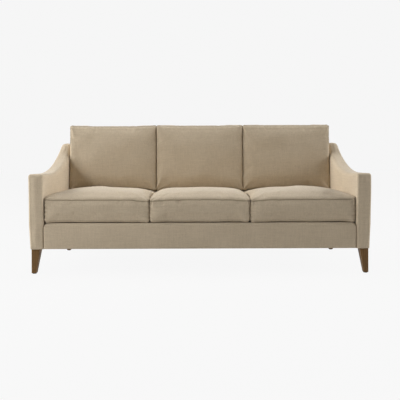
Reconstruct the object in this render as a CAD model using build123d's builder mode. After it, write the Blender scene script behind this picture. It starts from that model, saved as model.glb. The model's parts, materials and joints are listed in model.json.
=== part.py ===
from build123d import *
from math import atan, cos, radians, sin, tan
import os

os.makedirs("parts", exist_ok=True)

# Three-seat sofa with low arms whose tops sweep up into the back, three loose boxed seat cushions,
# three loose boxed back cushions and four tapered wooden legs.
# X runs to the right seen from the front, Y to the back, Z up; the floor is Z = 0.

# overall sizes
overall_width = 2000.0
overall_depth = 830.0
leg_height = 145.0
deck_height = 296.0
arm_front_height = 584.0
back_height = 789.0
rake_angle = 4.6

# clearances
fit = 0.3
lay = 0.3
cushion_gap = 3.0
cushion_arm_gap = 3.0
bolt_clearance = 0.2

# arms
arm_width = 85.0
arm_wall = 14.0
arm_flat_length = 162.0
arm_nose_radius = 18.0
arm_edge_radius = 12.0
arm_foot_taper = 7.0
arm_foot_taper_height = 146.0
back_top_depth = 129.0
crest_radius = 75.0
arm_rail_thickness = 25.0
arm_post_width = 60.0

# seat frame
rail_thickness = 32.0
side_rail_thickness = 25.0
rail_height = 122.0
border_wall = 13.7
border_set_back = 2.0
border_lip = 28.0
border_corner_radius = 22.0
border_edge_radius = 8.0
stretcher_width = 45.0
stretcher_height = 60.0
stretcher_drop = 32.0
stretcher_spacing = 610.0
corner_block_leg = 110.0
corner_block_height = 32.0
window_drop = 6.0

# webbing and platform
strap_width = 60.0
strap_thickness = 2.5
seat_strap_count = 12
cross_strap_count = 4
cross_strap_pitch = 130.0
cross_strap_landing = 18.0
strap_landing = 12.0
back_strap_count = 9
deck_cover_thickness = 1.5
dust_cover_thickness = 1.2
dust_cover_margin = 8.0

# back
panel_thickness = 8.0
panel_set_in = 6.0
panel_drop = 5.0
panel_corner_radius = 14.0
back_post_depth = 60.0
back_rail_thickness = 32.0
back_rail_height = 60.0
tacking_rail_lift = 14.0
upright_width = 55.0
upright_spacing = 610.0
back_pad_thickness = 40.0
back_pad_roll = 24.0

# legs
leg_top_side = 50.0
leg_foot_side = 28.0
leg_foot_splay = 1.0
leg_corner_ease = 3.0
leg_side_set_in = 13.0
leg_front_set_in = 8.0
leg_rear_set_in = 12.0
leg_plate_side = 35.0
leg_plate_thickness = 3.0
leg_bolt_radius = 4.0
leg_bolt_in_leg = 30.0
leg_bolt_in_post = 35.0
glide_radius = 12.0
glide_height = 4.0

# seat cushions; the crown tables give the place along the cushion and the share of the rise there
seat_middle_width = 586.0
seat_front = 4.0
seat_rear_gap = 4.0
seat_boxing = 138.0
seat_side_rise = 24.0
seat_crown_rise = 57.0
seat_crown = (
    (0.0, 0.06),
    (14.0, 0.36),
    (40.0, 0.58),
    (95.0, 0.81),
    (240.0, 1.0),
    (380.0, 0.95),
    (480.0, 0.74),
    (560.0, 0.42),
    (630.0, 0.20),
    (672.0, 0.08),
)
seat_side_draw = 4.0
seat_front_draw = 2.0
seat_corner_radius = 12.0

# back cushions
back_cushion_height = 456.0
back_boxing = 112.0
back_side_rise = 10.0
back_crown_rise = 44.0
back_crown = (
    (0.0, 0.30),
    (18.0, 0.60),
    (90.0, 0.93),
    (200.0, 1.0),
    (315.0, 0.86),
    (415.0, 0.52),
    (456.0, 0.10),
)
back_side_draw = 5.0
back_top_draw = 5.0
back_cushion_corner_radius = 18.0

# cushion covers and zips
cover_thickness = 3.0
core_gap = 0.5
inner_flat_share = 0.75
zip_length = 440.0
zip_width = 24.0
zip_thickness = 1.2
zip_inset = 0.6
coil_width = 6.0
coil_height = 2.0
slider_length = 12.0
slider_width = 9.0
slider_height = 2.4
pull_length = 22.0
pull_width = 6.0
pull_thickness = 1.2

# derived places
rake_cos = cos(radians(rake_angle))
rake_sin = sin(radians(rake_angle))
half_width = overall_width / 2
inside_half = half_width - arm_width
front_y = -overall_depth / 2
panel_top = back_height - panel_drop
rear_foot_y = overall_depth / 2 - panel_top * tan(radians(rake_angle))
frame_bottom = leg_height + leg_plate_thickness
rail_top = frame_bottom + rail_height
cross_strap_bottom = rail_top + strap_thickness
deck_pad_bottom = cross_strap_bottom + strap_thickness + lay
deck_cover_bottom = deck_height - deck_cover_thickness
cavity_inner = inside_half + arm_wall
cavity_outer = half_width - arm_wall
side_rail_inner = cavity_inner + fit
post_inner = side_rail_inner + side_rail_thickness
post_outer = cavity_outer - fit
cavity_front = front_y + arm_wall
rail_front = front_y + border_set_back + border_wall + fit
post_top = back_height - arm_wall - fit - arm_rail_thickness
window_top = deck_height - window_drop

# layers of the back, as distances forward of the outside back face
post_rear_n = panel_thickness + fit
post_front_n = post_rear_n + back_post_depth
rail_rear_n = post_front_n - back_rail_thickness
pad_rear_n = post_front_n + strap_thickness + lay
pad_front_n = pad_rear_n + back_pad_thickness
back_seat_n = pad_front_n + fit


def rake_v(z, n):
    """Distance up the rake of the height z on the layer n."""
    return (z - n * rake_sin) / rake_cos


def rake_yz(n, v):
    """Point in the YZ plane of the layer n at the distance v up the rake."""
    return (rear_foot_y + v * rake_sin - n * rake_cos, n * rake_sin + v * rake_cos)


def rake_y(n, z):
    """Y of the layer n at the height z."""
    return rake_yz(n, rake_v(z, n))[0]


def rake_plane(n):
    """Plane of the layer n, facing forward, with its local Y up the rake."""
    return Plane(
        origin=(0, *rake_yz(n, 0)), x_dir=(1, 0, 0), z_dir=(0, -rake_cos, rake_sin)
    )


def front_plane(y):
    """Upright plane at y, facing forward, with its local Y up."""
    return Plane(origin=(0, y, 0), x_dir=(1, 0, 0), z_dir=(0, -1, 0))


rear_rail_rear = rake_y(post_rear_n + fit, frame_bottom)
rear_rail_front = rear_rail_rear - rail_thickness

# the scoop is a hollow arc that leaves the level arm top and a round crest arc that meets the level back
scoop_start = front_y + arm_flat_length
scoop_end = overall_depth / 2 - back_top_depth
scoop_run = scoop_end - scoop_start
scoop_angle = 2 * atan((back_height - arm_front_height) / scoop_run)
scoop_radius = scoop_run / sin(scoop_angle) - crest_radius


def scoop_points(inset):
    """Ends and middles of the hollow arc and the crest arc, set in from the arm top by inset."""
    hollow = scoop_radius + inset
    crest = crest_radius - inset
    hollow_z = arm_front_height + scoop_radius
    crest_z = back_height - crest_radius
    half = scoop_angle / 2
    return (
        (scoop_start, arm_front_height - inset),
        (scoop_start + hollow * sin(half), hollow_z - hollow * cos(half)),
        (scoop_start + hollow * sin(scoop_angle), hollow_z - hollow * cos(scoop_angle)),
        (scoop_end - crest * sin(half), crest_z + crest * cos(half)),
        (scoop_end, back_height - inset),
    )


def arm_outline(inset, bottom, rear_n):
    """Side outline of the arm set in from its front and top, down to bottom and back to rear_n."""
    flat, hollow_mid, join, crest_mid, level = scoop_points(inset)
    nose = arm_nose_radius - inset
    nose_y = front_y + arm_nose_radius
    nose_z = arm_front_height - arm_nose_radius
    corner = nose * sin(radians(45))
    rear_top = (rake_y(rear_n, back_height - inset), back_height - inset)
    with BuildSketch(Plane.YZ) as outline:
        with BuildLine():
            Line((front_y + inset, bottom), (front_y + inset, nose_z))
            ThreePointArc(
                (front_y + inset, nose_z),
                (nose_y - corner, nose_z + corner),
                (nose_y, arm_front_height - inset),
            )
            Line((nose_y, arm_front_height - inset), flat)
            ThreePointArc(flat, hollow_mid, join)
            ThreePointArc(join, crest_mid, level)
            Line(level, rear_top)
            Line(rear_top, (rake_y(rear_n, bottom), bottom))
            Line((rake_y(rear_n, bottom), bottom), (front_y + inset, bottom))
        make_face()
    return outline.sketch


# right arm cover: padded shell over the arm frame, open below and behind, with its inner wall let out
# below the platform and behind the inside back
with BuildPart() as right_arm_cover:
    extrude(Pos(inside_half, 0, 0) * arm_outline(0, leg_height, post_rear_n), amount=arm_width)
    sides = right_arm_cover.faces().filter_by(Axis.X)
    soft = [
        e
        for e in sides.edges()
        if e.center().Z > leg_height + arm_nose_radius
        and e.center().Y < rake_y(post_rear_n + fit, e.center().Z)
    ]
    fillet(soft, radius=arm_edge_radius)
    with BuildSketch(front_plane(front_y)):
        with BuildLine():
            Polyline(
                (half_width - arm_foot_taper, leg_height),
                (half_width, leg_height + arm_foot_taper_height),
                (half_width + arm_foot_taper, leg_height),
                close=True,
            )
        make_face()
    extrude(amount=-overall_depth, mode=Mode.SUBTRACT)
    extrude(
        Pos(cavity_inner, 0, 0) * arm_outline(arm_wall, leg_height - arm_wall, -arm_wall),
        amount=cavity_outer - cavity_inner,
        mode=Mode.SUBTRACT,
    )
    with BuildSketch(Plane.YZ.offset(inside_half - fit)):
        with BuildLine():
            Polyline(
                (cavity_front, leg_height - arm_wall),
                (cavity_front, window_top),
                (rake_y(pad_front_n - border_wall, window_top), window_top),
                (rake_y(pad_front_n - border_wall, post_top), post_top),
                (rake_y(-arm_wall, post_top), post_top),
                (rake_y(-arm_wall, leg_height - arm_wall), leg_height - arm_wall),
                close=True,
            )
        make_face()
    extrude(amount=arm_wall + 2 * fit, mode=Mode.SUBTRACT)
right_arm_cover.part.label = "right_arm_cover"
export_step(right_arm_cover.part, "parts/right_arm_cover.step")

with BuildPart() as left_arm_cover:
    mirror(right_arm_cover.part, about=Plane.YZ)
left_arm_cover.part.label = "left_arm_cover"
export_step(left_arm_cover.part, "parts/left_arm_cover.step")

# swept arm top rails, sawn to the scoop
with BuildPart() as right_arm_top_rail:
    rail_upper = scoop_points(arm_wall + fit)
    rail_lower = scoop_points(arm_wall + fit + arm_rail_thickness)
    rail_nose = cavity_front + arm_nose_radius - arm_wall
    rail_tail = rake_y(post_rear_n, post_top)
    with BuildSketch(Plane.YZ.offset(side_rail_inner)):
        with BuildLine():
            Line((rail_nose, rail_lower[0][1]), (rail_nose, rail_upper[0][1]))
            Line((rail_nose, rail_upper[0][1]), rail_upper[0])
            ThreePointArc(rail_upper[0], rail_upper[1], rail_upper[2])
            ThreePointArc(rail_upper[2], rail_upper[3], rail_upper[4])
            Line(rail_upper[4], (rail_tail, rail_upper[4][1]))
            Line((rail_tail, rail_upper[4][1]), (rail_tail, rail_lower[4][1]))
            Line((rail_tail, rail_lower[4][1]), rail_lower[4])
            ThreePointArc(rail_lower[4], rail_lower[3], rail_lower[2])
            ThreePointArc(rail_lower[2], rail_lower[1], rail_lower[0])
            Line(rail_lower[0], (rail_nose, rail_lower[0][1]))
        make_face()
    extrude(amount=post_outer - side_rail_inner)
right_arm_top_rail.part.label = "right_arm_top_rail"
export_step(right_arm_top_rail.part, "parts/right_arm_top_rail.step")

with BuildPart() as left_arm_top_rail:
    mirror(right_arm_top_rail.part, about=Plane.YZ)
left_arm_top_rail.part.label = "left_arm_top_rail"
export_step(left_arm_top_rail.part, "parts/left_arm_top_rail.step")

# legs stand under the arm posts and the back posts
leg_x = half_width - leg_side_set_in - leg_top_side / 2
front_leg_y = front_y + leg_front_set_in + leg_top_side / 2
rear_leg_y = rake_y(0, leg_height) - leg_rear_set_in - leg_top_side / 2
leg_shift = (leg_top_side - leg_foot_side) / 2 + leg_foot_splay
leg_hole_radius = leg_bolt_radius + bolt_clearance

# arm posts
with BuildPart() as right_arm_post:
    post_front = cavity_front + fit
    post_height = arm_front_height - arm_wall - fit - arm_rail_thickness - frame_bottom
    with BuildSketch(Plane.XY.offset(frame_bottom)):
        with Locations((post_inner, post_front)):
            Rectangle(post_outer - post_inner, arm_post_width, align=(Align.MIN, Align.MIN))
    extrude(amount=post_height)
    with BuildSketch(Plane.XY.offset(frame_bottom)):
        with Locations((leg_x, front_leg_y)):
            Circle(leg_hole_radius)
    extrude(amount=leg_bolt_in_post + fit, mode=Mode.SUBTRACT)
right_arm_post.part.label = "right_arm_post"
export_step(right_arm_post.part, "parts/right_arm_post.step")

with BuildPart() as left_arm_post:
    mirror(right_arm_post.part, about=Plane.YZ)
left_arm_post.part.label = "left_arm_post"
export_step(left_arm_post.part, "parts/left_arm_post.step")

# raked back posts, cut level at foot and head
with BuildPart() as right_back_post:
    with BuildSketch(Plane.YZ.offset(post_inner)):
        with BuildLine():
            Polyline(
                (rake_y(post_rear_n, frame_bottom), frame_bottom),
                (rake_y(post_front_n, frame_bottom), frame_bottom),
                (rake_y(post_front_n, post_top), post_top),
                (rake_y(post_rear_n, post_top), post_top),
                close=True,
            )
        make_face()
    extrude(amount=post_outer - post_inner)
    with BuildSketch(Plane.XY.offset(frame_bottom)):
        with Locations((leg_x, rear_leg_y)):
            Circle(leg_hole_radius)
    extrude(amount=leg_bolt_in_post + fit, mode=Mode.SUBTRACT)
right_back_post.part.label = "right_back_post"
export_step(right_back_post.part, "parts/right_back_post.step")

with BuildPart() as left_back_post:
    mirror(right_back_post.part, about=Plane.YZ)
left_back_post.part.label = "left_back_post"
export_step(left_back_post.part, "parts/left_back_post.step")

# seat rails
with BuildPart() as right_seat_rail:
    with BuildSketch(Plane.XY.offset(frame_bottom)):
        with Locations((side_rail_inner, cavity_front + fit)):
            Rectangle(
                side_rail_thickness,
                rear_rail_rear - cavity_front - fit,
                align=(Align.MIN, Align.MIN),
            )
    extrude(amount=cross_strap_bottom - frame_bottom)
right_seat_rail.part.label = "right_seat_rail"
export_step(right_seat_rail.part, "parts/right_seat_rail.step")

with BuildPart() as left_seat_rail:
    mirror(right_seat_rail.part, about=Plane.YZ)
left_seat_rail.part.label = "left_seat_rail"
export_step(left_seat_rail.part, "parts/left_seat_rail.step")

with BuildPart() as front_seat_rail:
    with BuildSketch(Plane.XY.offset(frame_bottom)):
        with Locations((0, rail_front)):
            Rectangle(2 * side_rail_inner, rail_thickness, align=(Align.CENTER, Align.MIN))
    extrude(amount=rail_height)
front_seat_rail.part.label = "front_seat_rail"
export_step(front_seat_rail.part, "parts/front_seat_rail.step")

with BuildPart() as rear_seat_rail:
    with BuildSketch(Plane.XY.offset(frame_bottom)):
        with Locations((0, rear_rail_front)):
            Rectangle(2 * side_rail_inner, rail_thickness, align=(Align.CENTER, Align.MIN))
    extrude(amount=rail_height)
rear_seat_rail.part.label = "rear_seat_rail"
export_step(rear_seat_rail.part, "parts/rear_seat_rail.step")

bay_front = rail_front + rail_thickness
bay_depth = rear_rail_front - bay_front
bay_middle = bay_front + bay_depth / 2

# two stretchers from front rail to rear rail, below the webbing
with BuildPart() as seat_stretchers:
    with BuildSketch(Plane.XY.offset(rail_top - stretcher_drop - stretcher_height)):
        with Locations((0, bay_middle)):
            with GridLocations(stretcher_spacing, 0, 2, 1):
                Rectangle(stretcher_width, bay_depth)
    extrude(amount=stretcher_height)
seat_stretchers.part.label = "seat_stretchers"
export_step(seat_stretchers.part, "parts/seat_stretchers.step")

# triangular blocks in the corners of the seat frame
with BuildPart() as corner_blocks:
    with BuildSketch(Plane.XY.offset(frame_bottom)):
        with BuildLine():
            Polyline(
                (side_rail_inner, bay_front),
                (side_rail_inner, bay_front + corner_block_leg),
                (side_rail_inner - corner_block_leg, bay_front),
                close=True,
            )
        make_face()
        with BuildLine():
            Polyline(
                (side_rail_inner, rear_rail_front),
                (side_rail_inner, rear_rail_front - corner_block_leg),
                (side_rail_inner - corner_block_leg, rear_rail_front),
                close=True,
            )
        make_face()
    extrude(amount=corner_block_height)
    mirror(about=Plane.YZ)
corner_blocks.part.label = "corner_blocks"
export_step(corner_blocks.part, "parts/corner_blocks.step")

# webbing: straps from front to back on the rails, cross straps over them on the side rails
seat_strap_pitch = 2 * side_rail_inner / seat_strap_count
strap_front = bay_front - strap_landing
strap_rear = rear_rail_front + strap_landing
with BuildPart() as seat_webbing:
    with BuildSketch(Plane.XY.offset(rail_top)):
        with Locations((0, (strap_front + strap_rear) / 2)):
            with GridLocations(seat_strap_pitch, 0, seat_strap_count, 1):
                Rectangle(strap_width, strap_rear - strap_front)
    extrude(amount=strap_thickness)
seat_webbing.part.label = "seat_webbing"
export_step(seat_webbing.part, "parts/seat_webbing.step")

with BuildPart() as seat_cross_webbing:
    with BuildSketch(Plane.XY.offset(cross_strap_bottom)):
        with Locations((0, bay_middle)):
            with GridLocations(0, cross_strap_pitch, 1, cross_strap_count):
                Rectangle(2 * (side_rail_inner + cross_strap_landing), strap_width)
    extrude(amount=strap_thickness)
seat_cross_webbing.part.label = "seat_cross_webbing"
export_step(seat_cross_webbing.part, "parts/seat_cross_webbing.step")

# padded front border: wraps the front rail from under it to the edge of the platform
border_half = inside_half - fit
border_front = front_y + border_set_back
border_rear = border_front + border_lip
with BuildPart() as front_border:
    with BuildSketch(front_plane(border_front)) as border_face:
        with Locations((0, leg_height)):
            Rectangle(2 * border_half, deck_height - leg_height, align=(Align.CENTER, Align.MIN))
        fillet(border_face.vertices().group_by(Axis.Y)[-1], radius=border_corner_radius)
    extrude(amount=-(border_wall + fit + rail_thickness))
    fillet(front_border.faces().sort_by(Axis.Y)[0].edges(), radius=border_edge_radius)
    with BuildSketch(Plane.YZ.offset(-border_half)):
        with BuildLine():
            Polyline(
                (border_front + border_wall, frame_bottom - lay),
                (border_front + border_wall, rail_top + lay),
                (border_rear, rail_top + lay),
                (border_rear, deck_height + lay),
                (bay_front + lay, deck_height + lay),
                (bay_front + lay, frame_bottom - lay),
                close=True,
            )
        make_face()
    extrude(amount=2 * border_half, mode=Mode.SUBTRACT)
front_border.part.label = "front_border"
export_step(front_border.part, "parts/front_border.step")

# platform under the seat cushions
deck_front = border_rear + fit
deck_rear = rake_y(pad_rear_n, deck_height)
with BuildPart() as deck_pad:
    with BuildSketch(Plane.XY.offset(deck_pad_bottom)):
        with Locations((0, deck_front)):
            Rectangle(2 * border_half, deck_rear - deck_front, align=(Align.CENTER, Align.MIN))
    extrude(amount=deck_cover_bottom - lay - deck_pad_bottom)
deck_pad.part.label = "deck_pad"
export_step(deck_pad.part, "parts/deck_pad.step")

with BuildPart() as deck_cover:
    with BuildSketch(Plane.XY.offset(deck_cover_bottom)):
        with Locations((0, deck_front)):
            Rectangle(2 * border_half, deck_rear - deck_front, align=(Align.CENTER, Align.MIN))
    extrude(amount=deck_cover_thickness)
deck_cover.part.label = "deck_cover"
export_step(deck_cover.part, "parts/deck_cover.step")

# dust cover stapled under the seat rails
with BuildPart() as dust_cover:
    with BuildSketch(Plane.XY.offset(frame_bottom - lay - dust_cover_thickness)):
        with Locations((0, bay_front + dust_cover_margin)):
            Rectangle(
                2 * (inside_half - dust_cover_margin),
                rear_rail_rear - bay_front - 2 * dust_cover_margin,
                align=(Align.CENTER, Align.MIN),
            )
    extrude(amount=dust_cover_thickness)
dust_cover.part.label = "dust_cover"
export_step(dust_cover.part, "parts/dust_cover.step")

# back frame: top rail and tacking rail between the posts, two uprights behind them
top_rail_v = rake_v(post_top, post_front_n)
with BuildPart() as back_top_rail:
    with BuildSketch(rake_plane(rail_rear_n)):
        with Locations((0, top_rail_v)):
            Rectangle(2 * post_inner, back_rail_height, align=(Align.CENTER, Align.MAX))
    extrude(amount=back_rail_thickness)
back_top_rail.part.label = "back_top_rail"
export_step(back_top_rail.part, "parts/back_top_rail.step")

tacking_rail_v = rake_v(deck_height + tacking_rail_lift, rail_rear_n)
with BuildPart() as back_tacking_rail:
    with BuildSketch(rake_plane(rail_rear_n)):
        with Locations((0, tacking_rail_v)):
            Rectangle(2 * post_inner, back_rail_height, align=(Align.CENTER, Align.MIN))
    extrude(amount=back_rail_thickness)
back_tacking_rail.part.label = "back_tacking_rail"
export_step(back_tacking_rail.part, "parts/back_tacking_rail.step")

upright_foot_v = rake_v(rail_top + lay, post_rear_n)
with BuildPart() as back_uprights:
    with BuildSketch(rake_plane(post_rear_n)):
        with Locations((0, upright_foot_v)):
            with GridLocations(upright_spacing, 0, 2, 1):
                Rectangle(
                    upright_width, top_rail_v - upright_foot_v, align=(Align.CENTER, Align.MIN)
                )
    extrude(amount=rail_rear_n - post_rear_n)
back_uprights.part.label = "back_uprights"
export_step(back_uprights.part, "parts/back_uprights.step")

back_strap_pitch = 2 * post_inner / back_strap_count
with BuildPart() as back_webbing:
    with BuildSketch(rake_plane(post_front_n)):
        with Locations((0, tacking_rail_v + back_rail_height - strap_landing)):
            with GridLocations(back_strap_pitch, 0, back_strap_count, 1):
                Rectangle(
                    strap_width,
                    top_rail_v - tacking_rail_v - 2 * (back_rail_height - strap_landing),
                    align=(Align.CENTER, Align.MIN),
                )
    extrude(amount=strap_thickness)
back_webbing.part.label = "back_webbing"
export_step(back_webbing.part, "parts/back_webbing.step")

# inside back pad: stands on the platform and rolls over the top rail to the outside back
with BuildPart() as back_pad:
    pad_foot_v = rake_v(deck_height + lay, pad_rear_n)
    with BuildSketch(Plane.YZ.offset(-border_half)) as pad_section:
        with BuildLine():
            Polyline(
                rake_yz(pad_rear_n, pad_foot_v),
                rake_yz(pad_front_n, pad_foot_v),
                (rake_y(pad_front_n, back_height), back_height),
                (rake_y(post_rear_n, back_height), back_height),
                rake_yz(post_rear_n, top_rail_v + lay),
                rake_yz(pad_rear_n, top_rail_v + lay),
                close=True,
            )
        make_face()
        fillet(pad_section.vertices().group_by(Axis.Y)[-1].sort_by(Axis.X)[0], radius=back_pad_roll)
    extrude(amount=2 * border_half)
back_pad.part.label = "back_pad"
export_step(back_pad.part, "parts/back_pad.step")

# outside back panel across the arms and the back
with BuildPart() as outside_back_panel:
    panel_foot_v = rake_v(leg_height, 0)
    with BuildSketch(rake_plane(0)) as panel_face:
        with Locations((0, panel_foot_v)):
            Rectangle(
                2 * (half_width - arm_foot_taper - panel_set_in),
                rake_v(panel_top, 0) - panel_foot_v,
                align=(Align.CENTER, Align.MIN),
            )
        fillet(panel_face.vertices().group_by(Axis.Y)[-1], radius=panel_corner_radius)
    extrude(amount=panel_thickness)
outside_back_panel.part.label = "outside_back_panel"
export_step(outside_back_panel.part, "parts/outside_back_panel.step")

# tapered legs: the outer faces stand almost upright and the inner faces lean in towards the foot
def leg_form(middle_y, foot_y):
    """Right leg with its head at middle_y and its foot at foot_y, tapered both ways, with eased corners."""
    head, foot = leg_top_side / 2, leg_foot_side / 2
    foot_x = leg_x + leg_shift
    with BuildPart() as form:
        with BuildSketch(front_plane(middle_y)):
            with BuildLine():
                Polyline(
                    (leg_x - head, leg_height),
                    (leg_x + head, leg_height),
                    (foot_x + foot, glide_height),
                    (foot_x - foot, glide_height),
                    close=True,
                )
            make_face()
        extrude(amount=leg_top_side, both=True)
        with BuildSketch(Plane.YZ.offset(leg_x)):
            with BuildLine():
                Polyline(
                    (middle_y - head, leg_height),
                    (middle_y + head, leg_height),
                    (foot_y + foot, glide_height),
                    (foot_y - foot, glide_height),
                    close=True,
                )
            make_face()
        extrude(amount=leg_top_side, both=True, mode=Mode.INTERSECT)
        chamfer(form.edges().sort_by(SortBy.LENGTH)[-4:], length=leg_corner_ease)
        with BuildSketch(Plane.XY.offset(leg_height)):
            with Locations((leg_x, middle_y)):
                Circle(leg_hole_radius)
        extrude(amount=-(leg_bolt_in_leg + fit), mode=Mode.SUBTRACT)
    return form.part


with BuildPart() as front_right_leg:
    add(leg_form(front_leg_y, front_leg_y - leg_shift))
front_right_leg.part.label = "front_right_leg"
export_step(front_right_leg.part, "parts/front_right_leg.step")

with BuildPart() as front_left_leg:
    mirror(front_right_leg.part, about=Plane.YZ)
front_left_leg.part.label = "front_left_leg"
export_step(front_left_leg.part, "parts/front_left_leg.step")

with BuildPart() as rear_right_leg:
    add(leg_form(rear_leg_y, rear_leg_y + leg_shift))
rear_right_leg.part.label = "rear_right_leg"
export_step(rear_right_leg.part, "parts/rear_right_leg.step")

with BuildPart() as rear_left_leg:
    mirror(rear_right_leg.part, about=Plane.YZ)
rear_left_leg.part.label = "rear_left_leg"
export_step(rear_left_leg.part, "parts/rear_left_leg.step")

leg_places = [
    (leg_x, front_leg_y),
    (-leg_x, front_leg_y),
    (leg_x, rear_leg_y),
    (-leg_x, rear_leg_y),
]
foot_places = [
    (leg_x + leg_shift, front_leg_y - leg_shift),
    (-leg_x - leg_shift, front_leg_y - leg_shift),
    (leg_x + leg_shift, rear_leg_y + leg_shift),
    (-leg_x - leg_shift, rear_leg_y + leg_shift),
]

with BuildPart() as leg_plates:
    with BuildSketch(Plane.XY.offset(leg_height)):
        with Locations(*leg_places):
            Rectangle(leg_plate_side, leg_plate_side)
            Circle(leg_hole_radius, mode=Mode.SUBTRACT)
    extrude(amount=leg_plate_thickness)
leg_plates.part.label = "leg_plates"
export_step(leg_plates.part, "parts/leg_plates.step")

with BuildPart() as leg_bolts:
    with BuildSketch(Plane.XY.offset(leg_height - leg_bolt_in_leg)):
        with Locations(*leg_places):
            Circle(leg_bolt_radius)
    extrude(amount=leg_bolt_in_leg + leg_plate_thickness + leg_bolt_in_post)
leg_bolts.part.label = "leg_bolts"
export_step(leg_bolts.part, "parts/leg_bolts.step")

with BuildPart() as leg_glides:
    with BuildSketch(Plane.XY):
        with Locations(*foot_places):
            Circle(glide_radius)
    extrude(amount=glide_height)
leg_glides.part.label = "leg_glides"
export_step(leg_glides.part, "parts/leg_glides.step")

# loose seat cushions: boxed, crowned on top, with drawn-in sides and a straight rear for the zip
seat_bottom = deck_height + lay
seat_seam = seat_bottom + seat_boxing
seat_front_y = front_y + seat_front
seat_rear_y = rake_y(pad_front_n, deck_height) - seat_rear_gap
seat_outer_width = (2 * (inside_half - cushion_arm_gap - cushion_gap) - seat_middle_width) / 2
seat_outer_x = (seat_middle_width + seat_outer_width) / 2 + cushion_gap
seat_overrun = 1.0
seat_stretch = (seat_rear_y - seat_front_y) / seat_crown[-1][0]


def seat_form(centre, width, inset):
    """Seat cushion solid set in by inset: crowned sections lofted from front to rear, cut to the plan.
    The outside has a round crown, and what lies inside it has flats."""
    low = seat_bottom + inset
    wide = width / 2 + seat_overrun
    with BuildPart() as form:
        for place, share in seat_crown:
            at = seat_front_y + place * seat_stretch
            if place == seat_crown[0][0]:
                at = at - seat_overrun
            if place == seat_crown[-1][0]:
                at = at + seat_overrun
            side = seat_seam + seat_side_rise * share - inset
            crown = seat_seam + seat_crown_rise * share - inset
            with BuildSketch(front_plane(at)):
                with BuildLine():
                    Polyline(
                        (centre - wide, side), (centre - wide, low), (centre + wide, low), (centre + wide, side)
                    )
                    if inset:
                        flat = side + inner_flat_share * (crown - side)
                        Polyline(
                            (centre + wide, side),
                            (centre + wide / 2, flat),
                            (centre - wide / 2, flat),
                            (centre - wide, side),
                        )
                    else:
                        ThreePointArc((centre + wide, side), (centre, crown), (centre - wide, side))
                make_face()
        loft(ruled=True)
        left, right = centre - width / 2 + inset, centre + width / 2 - inset
        front, rear = seat_front_y + inset, seat_rear_y - inset
        middle = (front + rear) / 2
        with BuildSketch(Plane.XY.offset(low - seat_overrun)) as plan:
            with BuildLine():
                ThreePointArc((left, front), (centre, front + seat_front_draw), (right, front))
                ThreePointArc((right, front), (right - seat_side_draw, middle), (right, rear))
                Line((right, rear), (left, rear))
                ThreePointArc((left, rear), (left + seat_side_draw, middle), (left, front))
            make_face()
            fillet(plan.vertices(), radius=seat_corner_radius - inset)
        extrude(amount=seat_boxing + 2 * seat_crown_rise, mode=Mode.INTERSECT)
    return form.part


# loose back cushions: the same make, crowned in front, built up the rake
back_cushion_width = (2 * (inside_half - cushion_arm_gap) - 2 * cushion_gap) / 3
back_cushion_pitch = back_cushion_width + cushion_gap
rest_share = 0.505
rest_n = back_seat_n + back_boxing + back_crown_rise
back_foot_v = rake_v(seat_seam + seat_crown_rise * rest_share + lay, rest_n)
back_head_v = back_foot_v + back_cushion_height
back_overrun = 1.0
back_stretch = back_cushion_height / back_crown[-1][0]


def rise_plane(v):
    """Plane square to the rake at the distance v up it, with its local Y backwards."""
    return Plane(origin=(0, *rake_yz(0, v)), x_dir=(1, 0, 0), z_dir=(0, rake_sin, rake_cos))


def back_form(centre, width, inset):
    """Back cushion solid set in by inset: crowned sections lofted up the rake, cut to the front outline.
    The outside has a round crown, and what lies inside it has flats."""
    rear = back_seat_n + inset
    wide = width / 2 + back_overrun
    with BuildPart() as form:
        for place, share in back_crown:
            at = back_foot_v + place * back_stretch
            if place == back_crown[0][0]:
                at = at - back_overrun
            if place == back_crown[-1][0]:
                at = at + back_overrun
            side = back_seat_n + back_boxing + back_side_rise * share - inset
            crown = back_seat_n + back_boxing + back_crown_rise * share - inset
            with BuildSketch(rise_plane(at)):
                with BuildLine():
                    Polyline(
                        (centre - wide, -side),
                        (centre - wide, -rear),
                        (centre + wide, -rear),
                        (centre + wide, -side),
                    )
                    if inset:
                        flat = side + inner_flat_share * (crown - side)
                        Polyline(
                            (centre + wide, -side),
                            (centre + wide / 2, -flat),
                            (centre - wide / 2, -flat),
                            (centre - wide, -side),
                        )
                    else:
                        ThreePointArc((centre + wide, -side), (centre, -crown), (centre - wide, -side))
                make_face()
        loft(ruled=True)
        left, right = centre - width / 2 + inset, centre + width / 2 - inset
        foot, head = back_foot_v + inset, back_head_v - inset
        middle = (foot + head) / 2
        with BuildSketch(rake_plane(back_seat_n - back_overrun)) as outline:
            with BuildLine():
                Line((left, foot), (right, foot))
                ThreePointArc((right, foot), (right - back_side_draw, middle), (right, head))
                ThreePointArc((right, head), (centre, head - back_top_draw), (left, head))
                ThreePointArc((left, head), (left + back_side_draw, middle), (left, foot))
            make_face()
            fillet(outline.vertices(), radius=back_cushion_corner_radius - inset)
        extrude(amount=back_boxing + 2 * back_crown_rise, mode=Mode.INTERSECT)
    return form.part


# covers with a zip slot, filling cores, zips and sliders
zip_z = seat_bottom + seat_boxing / 2
zip_n = back_seat_n + back_boxing / 2
coil_face = coil_height - zip_inset - zip_thickness
slider_start = zip_length / 2 - slider_length
seat_zip_plane = Plane(origin=(0, seat_rear_y, zip_z), x_dir=(-1, 0, 0), z_dir=(0, 1, 0))
back_zip_plane = Plane(
    origin=(0, *rake_yz(zip_n, back_foot_v)), x_dir=(1, 0, 0), z_dir=(0, -rake_sin, -rake_cos)
)


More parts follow.
